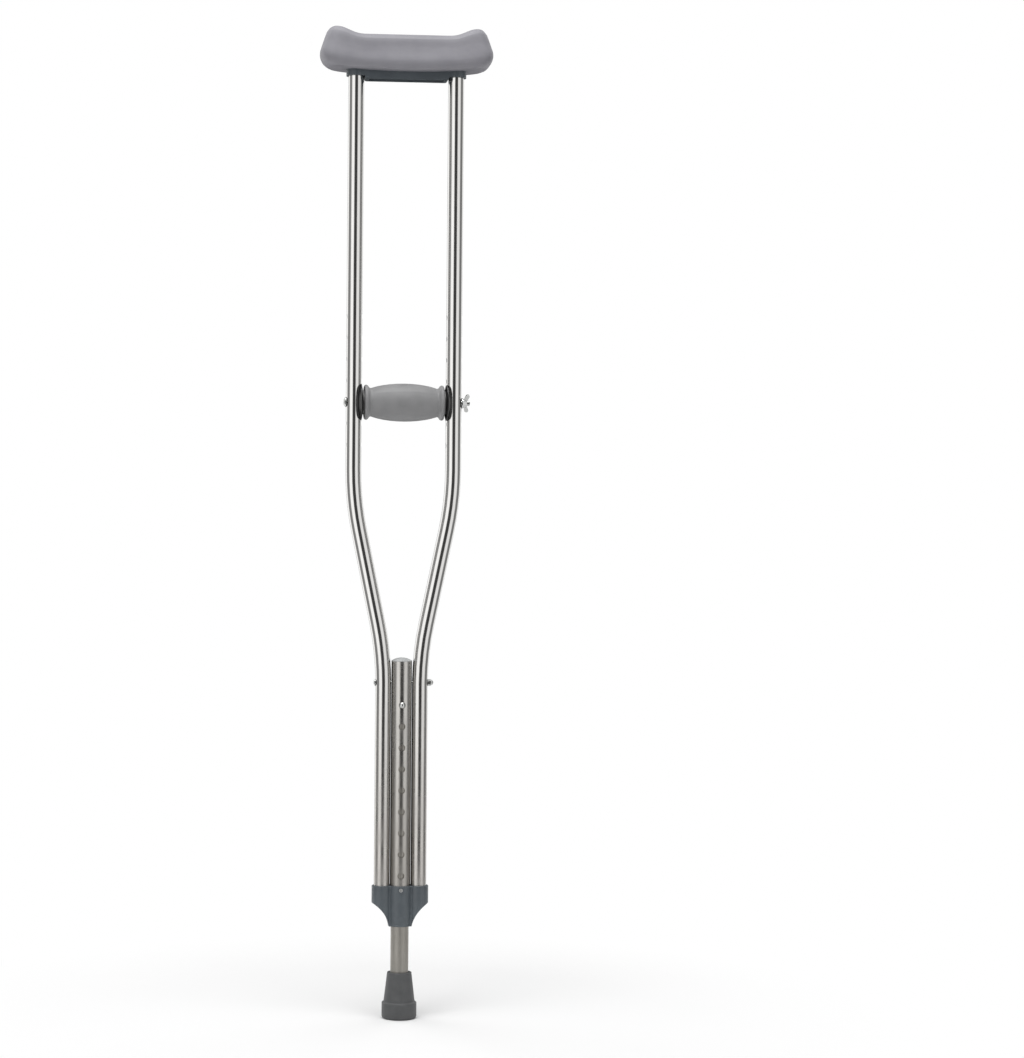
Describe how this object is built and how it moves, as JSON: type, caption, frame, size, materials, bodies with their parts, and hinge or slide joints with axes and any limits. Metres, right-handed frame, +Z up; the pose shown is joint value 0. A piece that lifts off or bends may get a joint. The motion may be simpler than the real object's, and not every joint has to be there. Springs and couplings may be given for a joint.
{
  "type": "underarm crutch",
  "caption": "Height-adjustable underarm crutch with a bent steel tube frame, telescopic leg, snap-button lock, padded saddle top and movable hand grip.",
  "frame": {"origin": "middle of the rubber tip's tread, where it meets the floor", "axes": "+Z up along the leg, +X across the crutch towards the wing nut, -Y towards the front, where the snap button is"},
  "size_m": [0.203, 0.057, 1.1605],
  "materials": {
    "pad_rubber": "satin grey moulded thermoplastic rubber",
    "bracket_plastic": "satin dark blue-grey moulded plastic",
    "fastener_steel": "bright plated steel",
    "polished_tube": "mirror-polished stainless steel tube",
    "cap_plastic": "light grey moulded plastic",
    "satin_tube": "satin stainless steel tube",
    "spring_steel": "bare spring steel strip",
    "tip_rubber": "matte dark grey rubber",
    "grip_rubber": "satin mid-grey moulded rubber",
    "core_plastic": "grey moulded plastic",
    "washer_plastic": "black moulded plastic"
  },
  "bodies": {
    "frame": {"underarm_pad": "pad_rubber", "pad_bracket": "bracket_plastic", "top_screws": "fastener_steel", "side_tube_left": "polished_tube", "side_tube_right": "polished_tube", "centre_tube": "polished_tube", "centre_tube_cap": "cap_plastic", "frame_bolt": "fastener_steel", "frame_nut": "fastener_steel", "lower_bracket": "bracket_plastic", "lower_screws": "fastener_steel", "front_screw": "fastener_steel"},
    "leg": {"leg_tube": "satin_tube", "leg_plug": "cap_plastic", "snap_spring": "spring_steel", "rubber_tip": "tip_rubber", "tip_disc": "fastener_steel"},
    "button": {"snap_button": "fastener_steel"},
    "grip": {"grip_sleeve": "grip_rubber", "grip_core": "core_plastic", "saddle_washer_left": "washer_plastic", "saddle_washer_right": "washer_plastic"},
    "bolt": {"grip_bolt": "fastener_steel"},
    "washer": {"nut_washer": "fastener_steel"},
    "nut": {"wing_nut": "fastener_steel"}
  },
  "joints": [
    {"name": "leg_slide", "type": "slide", "parent": "frame", "child": "leg", "axis": [0, 0, -1], "range_m": [0, 0.2], "deforming": ["snap_button"]},
    {"name": "button_press", "type": "slide", "parent": "leg", "child": "button", "axis": [0, 1, 0], "range_m": [0, 0.0045], "stiffness_N_per_m": 2500, "deforming": ["snap_spring"]},
    {"name": "grip_height", "type": "slide", "parent": "frame", "child": "grip", "axis": [0, 0, 1], "range_m": [-0.05, 0.1]},
    {"name": "bolt_draw", "type": "slide", "parent": "grip", "child": "bolt", "axis": [-1, 0, 0], "range_m": [0, 0.15]},
    {"name": "nut_spin", "type": "hinge", "parent": "washer", "child": "nut", "pos_m": [0.07, 0, 0.7225], "axis": [1, 0, 0], "range_deg": [0, 3600]},
    {"name": "nut_travel", "type": "slide", "parent": "grip", "child": "washer", "axis": [1, 0, 0], "range_m": [0, 0.01]}
  ],
  "couplings": [
    {"joint": "nut_spin", "follows": "nut_travel", "rad_per_m": 6283.2}
  ]
}
